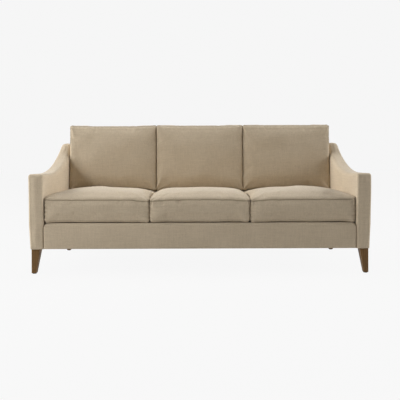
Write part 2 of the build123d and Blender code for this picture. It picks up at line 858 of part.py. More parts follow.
def zip_strip(plane):
    """Zip tape set into its slot, with the coil along its middle."""
    with BuildPart() as strip:
        with BuildSketch(plane.offset(-zip_inset - zip_thickness)):
            Rectangle(zip_length - 2 * fit, zip_width - 2 * fit)
        extrude(amount=zip_thickness)
        with BuildSketch(plane.offset(-zip_inset)):
            Rectangle(zip_length - 2 * fit, coil_width)
        extrude(amount=coil_height)
    return strip.part


def zip_slider(plane):
    """Slider body over the coil with its flat pull lying along the zip."""
    base = coil_height - zip_inset + fit
    with BuildPart() as slider:
        with BuildSketch(plane.offset(base)):
            with Locations((-slider_start, 0)):
                Rectangle(slider_length, slider_width)
        extrude(amount=slider_height)
        with BuildSketch(plane.offset(base + slider_height)):
            with Locations((-slider_start, 0)):
                Rectangle(pull_length, pull_width, align=(Align.MIN, Align.CENTER))
        extrude(amount=pull_thickness)
    return slider.part


seat_places = (
    ("left", -seat_outer_x, seat_outer_width),
    ("middle", 0.0, seat_middle_width),
    ("right", seat_outer_x, seat_outer_width),
)
for side, centre, width in seat_places:
    with BuildPart() as seat_cover:
        add(seat_form(centre, width, 0))
        add(seat_form(centre, width, cover_thickness), mode=Mode.SUBTRACT)
        with BuildSketch(seat_zip_plane):
            with Locations((-centre, 0)):
                Rectangle(zip_length, zip_width)
        extrude(amount=-2 * cover_thickness, mode=Mode.SUBTRACT)
    seat_cover.part.label = f"{side}_seat_cover"
    export_step(seat_cover.part, f"parts/{side}_seat_cover.step")

    with BuildPart() as seat_core:
        add(seat_form(centre, width, cover_thickness + core_gap))
    seat_core.part.label = f"{side}_seat_core"
    export_step(seat_core.part, f"parts/{side}_seat_core.step")

    with BuildPart() as seat_zip:
        add(Pos(centre, 0, 0) * zip_strip(seat_zip_plane))
    seat_zip.part.label = f"{side}_seat_zip"
    export_step(seat_zip.part, f"parts/{side}_seat_zip.step")

    with BuildPart() as seat_slider:
        add(Pos(centre, 0, 0) * zip_slider(seat_zip_plane))
    seat_slider.part.label = f"{side}_seat_zip_slider"
    export_step(seat_slider.part, f"parts/{side}_seat_zip_slider.step")

back_places = (
    ("left", -back_cushion_pitch),
    ("middle", 0.0),
    ("right", back_cushion_pitch),
)
for side, centre in back_places:
    with BuildPart() as back_cover:
        add(back_form(centre, back_cushion_width, 0))
        add(back_form(centre, back_cushion_width, cover_thickness), mode=Mode.SUBTRACT)
        with BuildSketch(back_zip_plane):
            with Locations((centre, 0)):
                Rectangle(zip_length, zip_width)
        extrude(amount=-2 * cover_thickness, mode=Mode.SUBTRACT)
    back_cover.part.label = f"{side}_back_cover"
    export_step(back_cover.part, f"parts/{side}_back_cover.step")

    with BuildPart() as back_core:
        add(back_form(centre, back_cushion_width, cover_thickness + core_gap))
    back_core.part.label = f"{side}_back_core"
    export_step(back_core.part, f"parts/{side}_back_core.step")

    with BuildPart() as back_zip:
        add(Pos(centre, 0, 0) * zip_strip(back_zip_plane))
    back_zip.part.label = f"{side}_back_zip"
    export_step(back_zip.part, f"parts/{side}_back_zip.step")

    with BuildPart() as back_slider:
        add(Pos(centre, 0, 0) * zip_slider(back_zip_plane))
    back_slider.part.label = f"{side}_back_zip_slider"
    export_step(back_slider.part, f"parts/{side}_back_zip_slider.step")
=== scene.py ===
import json
import math
from collections import namedtuple

import bmesh
import bpy
import numpy as np
from mathutils import Matrix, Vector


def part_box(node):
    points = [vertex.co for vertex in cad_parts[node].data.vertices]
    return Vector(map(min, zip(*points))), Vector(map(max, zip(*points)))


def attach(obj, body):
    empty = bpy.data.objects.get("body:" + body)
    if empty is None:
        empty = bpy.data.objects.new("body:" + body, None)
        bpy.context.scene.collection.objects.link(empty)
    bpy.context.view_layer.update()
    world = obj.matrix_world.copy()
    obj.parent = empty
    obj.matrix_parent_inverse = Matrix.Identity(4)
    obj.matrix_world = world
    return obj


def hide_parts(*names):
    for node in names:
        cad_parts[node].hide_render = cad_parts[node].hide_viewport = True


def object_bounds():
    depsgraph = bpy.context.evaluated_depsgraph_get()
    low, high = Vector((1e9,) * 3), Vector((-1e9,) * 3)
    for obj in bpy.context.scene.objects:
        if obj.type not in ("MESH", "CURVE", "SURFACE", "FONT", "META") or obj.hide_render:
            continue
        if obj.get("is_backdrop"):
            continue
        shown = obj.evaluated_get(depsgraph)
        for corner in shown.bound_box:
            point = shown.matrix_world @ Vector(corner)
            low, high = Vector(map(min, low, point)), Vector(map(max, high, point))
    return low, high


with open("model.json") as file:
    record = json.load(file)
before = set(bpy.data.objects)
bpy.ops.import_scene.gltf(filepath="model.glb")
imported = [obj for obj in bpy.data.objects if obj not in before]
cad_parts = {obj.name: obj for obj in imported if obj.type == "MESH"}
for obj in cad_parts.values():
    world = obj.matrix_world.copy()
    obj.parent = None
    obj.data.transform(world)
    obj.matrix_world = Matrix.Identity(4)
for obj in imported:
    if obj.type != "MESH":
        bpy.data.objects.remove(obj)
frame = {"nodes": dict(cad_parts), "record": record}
cad_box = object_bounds()

# Sizes of the sofa, in metres: X to the right, Y to the back, Z up
HALF = 1.0
ARM_IN = 0.915
FRONT = -0.415
REAR = 0.415
FLOOR_GAP = 0.145
DECK = 0.296
ARM_TOP = 0.584
BACK_TOP = 0.789
PANEL_TOP = 0.784
RAKE = math.radians(4.6)
REAR_FOOT = REAR - PANEL_TOP * math.tan(RAKE)
COVER_LAYER = 0.0083
SEAT_FRONT = -0.411
SEAT_REAR = 0.2603
SEAT_LOW = 0.2963
SEAT_SEAM = 0.4343
BACK_FOOT = 0.4434
BACK_TALL = 0.456
BACK_REAR = 0.1114
BACK_BOX = 0.112


def up_the_rake(n, v):
    """Y and Z of the point n forward of the outside back and v up along it."""
    return (REAR_FOOT + v * math.sin(RAKE) - n * math.cos(RAKE),
            n * math.sin(RAKE) + v * math.cos(RAKE))


def rear_y(n, z):
    """Y of the layer n at the height z."""
    return REAR_FOOT - n * math.cos(RAKE) + (z - n * math.sin(RAKE)) * math.tan(RAKE)


def smooth_table(x, table):
    """Value at x of the table of (place, value), joined by straight runs and softened by a short
    running mean."""
    margin, samples, window = 0.2, 1400, 61
    at, value = np.array(table).T
    fine = np.linspace(at[0] - margin, at[-1] + margin, samples)
    run = np.interp(fine, at, value)
    kernel = np.hanning(window)
    run = np.convolve(np.pad(run, window // 2, mode="edge"), kernel / kernel.sum(), mode="valid")
    return np.interp(x, fine, run)


# Meshes


def sew(name, patches, weld=2e-5):
    """Mesh of the grids of points in patches, each grid joined in quads, with the edges that meet welded."""
    points, quads, start = [], [], 0
    for grid in patches:
        rows, cols = grid.shape[:2]
        index = np.arange(rows * cols).reshape(rows, cols) + start
        corners = [index[:-1, :-1], index[1:, :-1], index[1:, 1:], index[:-1, 1:]]
        quads.append(np.stack(corners, -1).reshape(-1, 4))
        points.append(grid.reshape(-1, 3))
        start += rows * cols
    mesh = bpy.data.meshes.new(name)
    mesh.from_pydata(np.concatenate(points).tolist(), [], np.concatenate(quads).tolist())
    work = bmesh.new()
    work.from_mesh(mesh)
    bmesh.ops.remove_doubles(work, verts=work.verts, dist=weld)
    bmesh.ops.dissolve_degenerate(work, edges=work.edges, dist=1e-6)
    bmesh.ops.recalc_face_normals(work, faces=work.faces)
    work.to_mesh(mesh)
    work.free()
    mesh.shade_smooth()
    piece = bpy.data.objects.new(name, mesh)
    bpy.context.scene.collection.objects.link(piece)
    return piece


def points_of(mesh):
    """Points of a mesh as one array."""
    flat = np.empty(len(mesh.vertices) * 3)
    mesh.vertices.foreach_get("co", flat)
    return flat.reshape(-1, 3)


def put_points(mesh, points):
    """Moves the points of a mesh."""
    mesh.vertices.foreach_set("co", points.astype(np.float32).ravel())
    mesh.update()


def normals_of(mesh):
    """Normals at the points of a mesh as one array."""
    flat = np.empty(len(mesh.vertices) * 3)
    mesh.vertex_normals.foreach_get("vector", flat)
    return flat.reshape(-1, 3)


def mark(mesh, name, values):
    """Keeps a value at every point of a mesh under a name."""
    layer = mesh.attributes.get(name) or mesh.attributes.new(name, "FLOAT", "POINT")
    layer.data.foreach_set("value", values.astype(np.float32))


def dress(piece, finish, body, slot, *nodes):
    """Gives a piece its finish, the body that it moves with and the nodes that it stands for. The slot is not
    used.
    """
    piece.data.materials.clear()
    piece.data.materials.append(finish)
    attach(piece, body)
    if nodes:
        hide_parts(*nodes)
    return piece


def ripple(a, b, seed, longest=0.5, count=9):
    """Sum of slow sine waves over two coordinates, about 1 at its highest, the same for the same seed."""
    draw = np.random.default_rng(seed)
    turn = draw.uniform(0, 2 * np.pi, count)
    phase = draw.uniform(0, 2 * np.pi, count)
    length = longest * draw.uniform(0.35, 1.0, count)
    total = 0
    for t, p, l in zip(turn, phase, length):
        total = total + np.sin(2 * np.pi * (a * np.cos(t) + b * np.sin(t)) / l + p) * l / longest
    return total / math.sqrt(count)


# Finishes


def new_finish(name):
    """Empty node finish, its node tree and its surface node."""
    made = bpy.data.materials.new(name)
    made.use_nodes = True
    return made, made.node_tree, made.node_tree.nodes["Principled BSDF"]


def add_node(tree, kind, links=(), **values):
    """New node with its properties and socket values set, and its inputs linked."""
    made = tree.nodes.new(kind)
    for key, value in values.items():
        if hasattr(made, key):
            setattr(made, key, value)
        else:
            made.inputs[key.replace("_", " ")].default_value = value
    for socket, source in links:
        tree.links.new(source, made.inputs[socket])
    return made


def between(tree, share, low, high):
    """Colour between low and high by the share."""
    made = add_node(tree, "ShaderNodeMix", data_type="RGBA")
    tree.links.new(share, made.inputs[0])
    for socket, colour in ((6, low), (7, high)):
        if isinstance(colour, tuple):
            made.inputs[socket].default_value = (*colour, 1)
        else:
            tree.links.new(colour, made.inputs[socket])
    return made.outputs[2]


def reckon(tree, how, a, b=None):
    """Sum, product or other result of two values, each a socket or a number."""
    made = add_node(tree, "ShaderNodeMath", operation=how)
    for socket, value in enumerate((a, b)):
        if value is None:
            continue
        if isinstance(value, (int, float)):
            made.inputs[socket].default_value = value
        else:
            tree.links.new(value, made.inputs[socket])
    return made.outputs[0]


def weighted(tree, *parts):
    """Sum of values, each times its weight."""
    total = None
    for value, weight in parts:
        share = reckon(tree, "MULTIPLY", value, weight)
        total = share if total is None else reckon(tree, "ADD", total, share)
    return total


def object_place(tree):
    """Place on the object itself."""
    return add_node(tree, "ShaderNodeTexCoord").outputs["Object"]


def stretched(tree, place, scale, turn=(0, 0, 0)):
    """Place scaled along each axis and turned."""
    return add_node(tree, "ShaderNodeMapping", [("Vector", place)], Scale=scale, Rotation=turn).outputs[0]


def noise(tree, place, scale, detail, roughness=0.5):
    """Cloudy pattern over a place."""
    made = add_node(tree, "ShaderNodeTexNoise", [("Vector", place)], Scale=scale, Detail=detail,
                    Roughness=roughness)
    return made.outputs["Fac"]


def level(tree, value, low, high):
    """Value of 0..1 rescaled to low..high."""
    made = add_node(tree, "ShaderNodeMapRange", [(0, value)])
    made.inputs[3].default_value = low
    made.inputs[4].default_value = high
    return made.outputs[0]


def relief(tree, surface, height, strength, depth):
    """Raises a surface by a pattern, to a depth in metres."""
    bump = add_node(tree, "ShaderNodeBump", [("Height", height)], Strength=strength, Distance=depth)
    tree.links.new(bump.outputs[0], surface.inputs["Normal"])


def seen_directly(tree):
    """1 for rays that show a surface to the camera, straight or by a mirror or glass, and 0 for others."""
    ray = add_node(tree, "ShaderNodeLightPath").outputs
    bent = reckon(tree, "MAXIMUM", ray["Is Glossy Ray"], ray["Is Transmission Ray"])
    return reckon(tree, "MAXIMUM", ray["Is Camera Ray"], bent)


def spread(tree, value, low, high):
    """Value rescaled from low..high to 0..1."""
    made = add_node(tree, "ShaderNodeMapRange", clamp=True)
    tree.links.new(value, made.inputs[0])
    made.inputs[1].default_value = low
    made.inputs[2].default_value = high
    return made.outputs[0]


def yarn_bands(tree, place, axis, pitch, wander):
    """Bands of yarn across an axis at a pitch in metres, a little wavy."""
    made = add_node(tree, "ShaderNodeTexWave", bands_direction=axis, Scale=2 * math.pi / (20 * pitch),
                    Distortion=wander, Detail=1.0, Detail_Scale=0.6)
    tree.links.new(place, made.inputs["Vector"])
    return made.outputs["Fac"]


def cloth_finish(name, pale, deep, shade, pitch=0.0016, depth=0.0005, sheen=0.25):
    """Woven linen: crossed yarn bands in relief, slubs along the yarns, slow drift of the dye and
    painted shade along the seams, darkening the colour there towards the shade colour."""
    along_yarn, across_yarn = 14, 150
    made, tree, surface = new_finish(name)
    place = object_place(tree)
    x_bands, y_bands, z_bands = [yarn_bands(tree, place, axis, pitch, 1.2) for axis in "XYZ"]
    weave = weighted(tree, (x_bands, z_bands), (y_bands, z_bands), (x_bands, y_bands))
    slubs = []
    for yarn in (0, 2, 1):
        scale = [across_yarn] * 3
        scale[yarn] = along_yarn
        slubs.append((noise(tree, stretched(tree, place, scale), 1.0, 3.0, 0.6), 1 / 3))
    slub = weighted(tree, *slubs)
    drift = noise(tree, place, 5.0, 4.0, 0.55)
    fleck = noise(tree, place, 420.0, 2.0)
    tone = weighted(tree, (spread(tree, slub, 0.36, 0.64), 0.55), (spread(tree, fleck, 0.3, 0.7), 0.25),
                    (spread(tree, drift, 0.3, 0.7), 0.20))
    # Painted shade: a value kept on the mesh along the seam lines mixes the linen's colour towards the shade
    # colour, standing in for the shadow in the seams.
    shaded_seam = add_node(tree, "ShaderNodeAttribute", attribute_name="shaded_seam").outputs["Fac"]
    colour = between(tree, shaded_seam, between(tree, tone, deep, pale), shade)
    tree.links.new(colour, surface.inputs["Base Color"])
    relief(tree, surface, weighted(tree, (weave, 1.0), (slub, 1.5)), 0.35, depth)
    surface.inputs["Roughness"].default_value = 0.92
    surface.inputs["Specular IOR Level"].default_value = 0.22
    surface.inputs["Sheen Weight"].default_value = sheen
    surface.inputs["Sheen Roughness"].default_value = 0.5
    return made


def wood_finish(name, pale, deep, gloss, ring=0.010):
    """Timber with its grain upright: stretched rings, a slow wobble of tone and fine pores."""
    made, tree, surface = new_finish(name)
    place = object_place(tree)
    grain = stretched(tree, place, (1.0, 1.0, 0.10), (0.05, 0.03, 0.4))
    wobble = noise(tree, grain, 22.0, 3.0)
    rings = add_node(tree, "ShaderNodeTexWave", [("Vector", grain)], bands_direction="X",
                     Scale=2 * math.pi / (20 * ring), Distortion=7.0, Detail=3.0, Detail_Scale=1.2)
    pores = noise(tree, stretched(tree, place, (900, 900, 30)), 1.0, 2.0)
    tone = weighted(tree, (rings.outputs["Fac"], 0.5), (wobble, 0.3), (spread(tree, pores, 0.35, 0.6), 0.2))
    tree.links.new(between(tree, tone, deep, pale), surface.inputs["Base Color"])
    tree.links.new(level(tree, tone, gloss + 0.12, gloss), surface.inputs["Roughness"])
    relief(tree, surface, tone, 0.2, 0.0004)
    surface.inputs["Specular IOR Level"].default_value = 0.25
    return made


def strap_finish(name, pale, deep):
    """Woven strap: a close crossed rib and broad patches of tone."""
    pitch = 0.0024
    made, tree, surface = new_finish(name)
    place = object_place(tree)
    rib = reckon(tree, "MULTIPLY", *[yarn_bands(tree, place, axis, pitch, 0.6) for axis in "XY"])
    share = weighted(tree, (rib, 0.5), (noise(tree, place, 60.0, 3.0), 0.5))
    tree.links.new(between(tree, share, deep, pale), surface.inputs["Base Color"])
    relief(tree, surface, rib, 0.3, 0.0005)
    surface.inputs["Roughness"].default_value = 0.85
    return made


def metal_finish(name, pale, deep, rough):
    """Bright metal with a fine brushed streak and dull spots."""
    made, tree, surface = new_finish(name)
    streak = noise(tree, stretched(tree, object_place(tree), (120, 900, 900)), 1.0, 3.0)
    tree.links.new(between(tree, streak, deep, pale), surface.inputs["Base Color"])
    tree.links.new(level(tree, streak, rough - 0.08, rough + 0.12), surface.inputs["Roughness"])
    surface.inputs["Metallic"].default_value = 1.0
    return made


def plain_finish(name, pale, deep, rough, grain):
    """Moulded or foamed stuff: a fine grain of two close tones with a slight relief."""
    made, tree, surface = new_finish(name)
    cells = noise(tree, object_place(tree), grain, 4.0)
    tree.links.new(between(tree, cells, deep, pale), surface.inputs["Base Color"])
    relief(tree, surface, cells, 0.25, 0.0004)
    surface.inputs["Roughness"].default_value = rough
    return made


linen = cloth_finish("linen", (0.712, 0.596, 0.440), (0.500, 0.406, 0.284), (0.26, 0.20, 0.13))
platform_cloth = cloth_finish("platform_cloth", (0.56, 0.49, 0.39), (0.44, 0.38, 0.29), (0.25, 0.2, 0.14),
                              pitch=0.0012)
dust_cloth = cloth_finish("dust_cloth", (0.040, 0.038, 0.036), (0.020, 0.019, 0.018), (0.01, 0.01, 0.01),
                          pitch=0.0010, sheen=0.1)
leg_wood = wood_finish("leg_wood", (0.236, 0.130, 0.044), (0.118, 0.060, 0.020), 0.45)
frame_timber = wood_finish("frame_timber", (0.58, 0.43, 0.26), (0.42, 0.29, 0.16), 0.62, 0.014)
webbing = strap_finish("webbing", (0.34, 0.27, 0.18), (0.16, 0.12, 0.075))
steel = metal_finish("steel", (0.62, 0.62, 0.61), (0.42, 0.42, 0.42), 0.36)
zip_metal = metal_finish("zip_metal", (0.66, 0.53, 0.30), (0.44, 0.33, 0.16), 0.30)
zip_tape = strap_finish("zip_tape", (0.50, 0.43, 0.32), (0.36, 0.30, 0.22))
glide_plastic = plain_finish("glide_plastic", (0.055, 0.052, 0.048), (0.030, 0.028, 0.026), 0.5, 900)
filling = plain_finish("filling", (0.80, 0.74, 0.58), (0.66, 0.59, 0.44), 0.95, 260)

FINISHES = {
    "upholstery": linen, "platform_cloth": platform_cloth, "dust_cloth": dust_cloth, "webbing": webbing,
    "filling": filling, "frame_timber": frame_timber, "leg_wood": leg_wood, "steel": steel,
    "glide_plastic": glide_plastic, "zip_tape": zip_tape, "zip_metal": zip_metal,
}

# Arms


def arm_path():
    """Side outline of an arm as Y, Z: up the front, round the nose, along the level top, up the hollow of the
    scoop, over its crest and back along the level end. Also the inward normals and the last front point."""
    nose, crest = 0.018, 0.075
    start, end = FRONT + 0.162, REAR - 0.129
    rows = 64
    angle = 2 * math.atan((BACK_TOP - ARM_TOP) / (end - start))
    hollow = (end - start) / math.sin(angle) - crest
    front = np.stack([np.full(rows, FRONT), np.linspace(FLOOR_GAP, ARM_TOP - nose, rows)], 1)
    turn = np.linspace(math.pi, math.pi / 2, 13)
    round_nose = np.stack([FRONT + nose + nose * np.cos(turn), ARM_TOP - nose + nose * np.sin(turn)], 1)
    level_top = np.stack([np.linspace(FRONT + nose, start, 26), np.full(26, ARM_TOP)], 1)
    bow = np.linspace(0, angle, rows)
    scoop = np.stack([start + hollow * np.sin(bow), ARM_TOP + hollow * (1 - np.cos(bow))], 1)
    over = np.linspace(angle, 0, 18)
    top = np.stack([end - crest * np.sin(over), BACK_TOP - crest + crest * np.cos(over)], 1)
    tail = np.stack([np.linspace(end, rear_y(COVER_LAYER, BACK_TOP), 18), np.full(18, BACK_TOP)], 1)
    path = np.concatenate([front, round_nose[1:], level_top[1:], scoop[1:], top[1:], tail[1:]])
    along = np.gradient(path, axis=0)
    along /= np.linalg.norm(along, axis=1, keepdims=True)
    inward = np.stack([along[:, 1], -along[:, 0]], 1)
    return path, inward, rows - 1


def straight_cap(first, second, count):
    """Straight strip between two edges, with count points across it."""
    return first[:, None] + (second - first)[:, None] * np.linspace(0, 1, count)[None, :, None]


def arm_cover(name, side):
    """Padded arm: the side outline with its edges rounded by a quarter circle towards both side faces, the
    inner edge wider and both widening up the scoop, a strip crowned across its width between them, side faces
    with slow ripples, and a foot drawn in on the outside."""
    edge, outer_growth, inner_front, inner_growth = 0.013, 0.0120, 0.0100, 0.0140
    face_wave, face_wave_long, wave_fade = 0.0012, 0.45, 0.05
    drawn_in, drawn_tall = 0.007, 0.146
    front_crown, top_crown, strip_wave = 0.0035, 0.0012, 0.0010
    face_seed, strip_seed = 11, 5
    path, inward, corner = arm_path()
    climb = np.clip((path[:, 1] - ARM_TOP) / (BACK_TOP - ARM_TOP), 0, 1)
    along_top = np.clip((path[:, 0] - FRONT) / 0.16, 0, 1)
    swing = np.linspace(0, math.pi / 2, 11)

    def rounded_edge(radius):
        """Side view of an edge of the radii given along the outline, and how far it has turned in."""
        ring = path[:, None] + inward[:, None] * (radius[:, None] * (1 - np.cos(swing)))[..., None]
        ring[-1, :, 0] = rear_y(COVER_LAYER, ring[-1, :, 1])
        return ring, radius[:, None] * (1 - np.sin(swing))

    def side_face(ring):
        """Side view of the flat face below an edge, down to the foot."""
        top = ring[corner:, -1]
        share = (top[:, 0] - top[0, 0]) / (top[-1, 0] - top[0, 0])
        low_y = top[0, 0] + share * (rear_y(COVER_LAYER, FLOOR_GAP) - top[0, 0])
        rise = np.linspace(0, 1, 64)
        return np.stack([low_y[:, None] + rise * (top[:, 0] - low_y)[:, None],
                         FLOOR_GAP + rise * (top[:, 1] - FLOOR_GAP)[:, None]], -1)

    def face_points(yz, x, face, bulge):
        """Points of a side face or edge, face 1 for the outer: slow ripples, and the outer foot drawn in."""
        y, z = yz[..., 0], yz[..., 1]
        fade = np.clip((z - FLOOR_GAP) / wave_fade, 0, 1)
        shift = face_wave * ripple(y, z, face_seed + int(side) + face, face_wave_long) * fade
        near_foot = np.clip((FLOOR_GAP + drawn_tall - z) / drawn_tall, 0, 1)
        shift = (shift - drawn_in * face * near_foot) * bulge
        return np.concatenate([(x + (shift if face else -shift))[..., None], yz], -1)

    outer_yz, outer_in = rounded_edge(edge + outer_growth * climb)
    inner_yz, inner_in = rounded_edge(edge + inner_front * along_top + inner_growth * climb)
    outer_ring = face_points(outer_yz, HALF - outer_in, 1, 1.0)
    inner_ring = face_points(inner_yz, ARM_IN + inner_in, 0, np.sin(swing)[None, :])
    outer_face, inner_face = side_face(outer_yz), side_face(inner_yz)
    outer_face = face_points(outer_face, np.full(outer_face.shape[:2], HALF), 1, 1.0)
    inner_face = face_points(inner_face, np.full(inner_face.shape[:2], ARM_IN), 0, 1.0)
    across = np.linspace(0, 1, 17)
    first, last = outer_ring[:, 0], inner_ring[:, 0]
    strip = first[:, None] + (last - first)[:, None] * across[None, :, None]
    hump = (1 - (2 * across - 1) ** 2) ** 2
    station = np.arange(len(path))[:, None]
    crown = np.where(station <= corner, front_crown, top_crown)
    wave = strip_wave * ripple(station * 0.012, across[None, :] * 0.08, strip_seed + int(side), 0.3)
    hold = np.clip((path[:, 1] - FLOOR_GAP) / 0.04, 0, 1)[:, None]
    strip[..., 1:] -= inward[:, None] * ((crown + wave) * hump * hold)[..., None]
    strip[-1, :, 1] = first[-1, 1]
    rear = straight_cap(np.concatenate([outer_face[-1], outer_ring[-1, ::-1]]),
                        np.concatenate([inner_face[-1], inner_ring[-1, ::-1]]), 5)
    foot = straight_cap(np.concatenate([outer_ring[0], outer_face[:, 0]]),
                        np.concatenate([inner_ring[0], inner_face[:, 0]]), 5)
    patches = [outer_ring, inner_ring, outer_face, inner_face, strip, rear, foot]
    for patch in patches:
        patch[..., 0] *= side
    piece = sew(name, patches)
    return piece


# Border, inside back, outside back, platform and dust sheet


def carried(name, outer, inner, stations, bend):
    """Two open section lines, outer and inner, carried along X and joined at their edges and ends.
    bend moves the section's Y and Z by the station."""
    sheets = []
    for line in (outer, inner):
        x = np.broadcast_to(stations[:, None], (len(stations), len(line)))
        y = np.broadcast_to(line[None, :, 0], x.shape)
        z = np.broadcast_to(line[None, :, 1], x.shape)
        sheets.append(bend(np.stack([x, y, z], -1), line is outer))
    first, second = sheets
    ends = [straight_cap(first[k], second[k], 3) for k in (0, -1)]
    edges = [straight_cap(first[:, k], second[:, k], 3) for k in (0, -1)]
    return sew(name, sheets + ends + edges)


def rounded_line(corners, radii, step=0.006):
    """Line through corners, each rounded by an arc of its radius, with points about a step apart."""
    corners = np.array(corners, float)
    runs = [corners[:1]]
    for before, at, after, radius in zip(corners[:-2], corners[1:-1], corners[2:], radii):
        back, ahead = before - at, after - at
        back, ahead = back / np.linalg.norm(back), ahead / np.linalg.norm(ahead)
        half = 0.5 * math.acos(np.clip(back @ ahead, -1, 1))
        reach = radius / math.tan(half)
        middle = at + (back + ahead) / np.linalg.norm(back + ahead) * radius / math.sin(half)
        a, b = at + back * reach - middle, at + ahead * reach - middle
        t = np.linspace(0, 1, 9)[:, None]
        span = math.acos(np.clip(a @ b / radius ** 2, -1, 1))
        runs.append(middle + (np.sin((1 - t) * span) * a + np.sin(t * span) * b) / math.sin(span))
    runs.append(corners[-1:])
    rough = np.concatenate(runs)
    length = np.concatenate([[0], np.cumsum(np.linalg.norm(np.diff(rough, axis=0), axis=1))])
    even = np.unique(np.concatenate([length, np.arange(0, length[-1], step)]))
    keep = np.concatenate([[True], np.diff(even) > 1e-5])
    even = even[keep]
    return np.stack([np.interp(even, length, rough[:, 0]), np.interp(even, length, rough[:, 1])], 1)


def matched(line, count):
    """Line with count points at even shares of its length."""
    length = np.concatenate([[0], np.cumsum(np.linalg.norm(np.diff(line, axis=0), axis=1))])
    even = np.linspace(0, length[-1], count)
    return np.stack([np.interp(even, length, line[:, 0]), np.interp(even, length, line[:, 1])], 1)


def end_stations(half, fine, count):
    """Stations along X, close together near both ends."""
    near = fine * (1 - np.cos(np.linspace(0, math.pi / 2, 14)))
    middle = np.linspace(-half + fine, half - fine, count)
    return np.concatenate([-half + near[:-1], middle, half - near[::-1][1:]])


def front_border(name):
    """Padded border across the front: a channel section round the rail carried along X, its front face
    swelling a little, its upper corners rounded in the front view and its front edges rolled."""
    wall, under, over = 0.0137, 0.0024, 0.0256
    end_round, end_roll = 0.024, 0.009
    swell_depth, wave_depth = 0.0022, 0.0009
    low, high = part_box("front_border")
    front, rear = low[1], high[1]
    outer = rounded_line([(rear, low[2]), (front, low[2]), (front, high[2]), (rear, high[2])], (0.009, 0.019))
    inner_low, inner_high = low[2] + under, high[2] - over
    inner = rounded_line([(rear, inner_low), (front + wall, inner_low), (front + wall, inner_high),
                          (rear, inner_high)], (0.001, 0.001))
    inner = matched(inner, len(outer))
    stations = end_stations(high[0], end_round, 300)

    def bend(grid, outside):
        """Upper corners dropped towards the ends and, outside, the ends rolled back and the face swollen."""
        x, y, z = grid[..., 0], grid[..., 1], grid[..., 2]
        gap = high[0] - np.abs(x)
        rise = (z - low[2]) / (high[2] - low[2])
        z = z - quarter(gap, end_round) * np.clip((rise - 0.55) / 0.45, 0, 1)
        if outside:
            face = np.clip((front + wall - y) / wall, 0, 1)
            swell = swell_depth * np.sin(math.pi * np.clip(rise, 0, 1)) + wave_depth * ripple(x, z, 3, 0.5)
            y = y + quarter(gap, end_roll) * face - swell * face * np.clip(gap / 0.05, 0, 1)
        return np.stack([x, y, z], -1)

    piece = carried(name, outer, inner, stations, bend)
    return piece


def inside_back(name):
    """Pad on the inside of the back: its section stands on the platform and rolls over the top rail,
    carried along X with slow ripples on the front face."""
    pad_rear, pad_front, rail_front = 0.0711, 0.1111, 0.0683
    fit, rail_drop, rail_tall = 0.0003, 0.014, 0.025
    half = float(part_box("back_pad")[1][0])
    foot = (DECK + fit - pad_rear * math.sin(RAKE)) / math.cos(RAKE)
    rail = (BACK_TOP - rail_drop - fit - rail_tall - rail_front * math.sin(RAKE)) / math.cos(RAKE) + fit
    outer = rounded_line([up_the_rake(pad_rear, foot), up_the_rake(pad_front, foot),
                          (rear_y(pad_front, BACK_TOP), BACK_TOP), (rear_y(COVER_LAYER, BACK_TOP), BACK_TOP),
                          up_the_rake(COVER_LAYER, rail)], (0.006, 0.024, 0.006))
    inner = [up_the_rake(pad_rear, foot), up_the_rake(pad_rear, rail), up_the_rake(COVER_LAYER, rail)]
    inner = matched(np.array(inner), len(outer))
    inner[0], inner[-1] = outer[0], outer[-1]
    stations = end_stations(half, 0.012, 200)

    def bend(grid, outside):
        """Front face of the outer line rippled, fading to the ends."""
        if not outside:
            return grid
        x, y, z = grid[..., 0], grid[..., 1], grid[..., 2]
        ahead = np.clip((rear_y(0.09, z) - y) / 0.02, 0, 1) * np.clip((half - np.abs(x)) / 0.05, 0, 1)
        return np.stack([x, y + 0.0018 * (0.5 + 0.5 * ripple(x, z, 8, 0.4)) * ahead, z], -1)

    piece = carried(name, outer, inner, stations, bend)
    return piece


def corner_grid(half_w, half_l, corner, spacing, edge):
    """Grid over a rectangle with rounded corners: its lines close up towards the edges, and each corner
    square is drawn in to a quarter disc. Gives both coordinates and the distance to the outline."""
    near = edge * (1 - np.cos(np.linspace(0, math.pi / 2, 10)))

    def line(half):
        """Places along one side, close together near its ends."""
        middle = np.linspace(-half + edge, half - edge, max(3, int(2 * (half - edge) / spacing)))
        return np.concatenate([-half + near[:-1], middle, half - near[::-1][1:]])

    u, v = np.meshgrid(line(half_w), line(half_l), indexing="ij")
    past_u, past_v = np.maximum(np.abs(u) - half_w + corner, 0), np.maximum(np.abs(v) - half_l + corner, 0)
    most, length = np.maximum(past_u, past_v), np.hypot(past_u, past_v)
    draw = np.where((past_u > 0) & (past_v > 0), most / np.maximum(length, 1e-9), 1)
    u2 = np.where(past_u > 0, np.sign(u) * (half_w - corner + past_u * draw), u)
    v2 = np.where(past_v > 0, np.sign(v) * (half_l - corner + past_v * draw), v)
    gap = np.minimum(half_w - np.abs(u), half_l - np.abs(v))
    return u2, v2, gap


def rim_of(grid):
    """Edge of a grid, once round."""
    return np.concatenate([grid[:-1, 0], grid[-1, :-1], grid[:0:-1, -1], grid[0, ::-1]])


def quarter(gap, radius):
    """Depth below the face of a quarter circle edge at a distance from the outline."""
    reach = np.clip(gap, 0, radius)
    return radius - np.sqrt(np.maximum(radius ** 2 - (radius - reach) ** 2, 0))


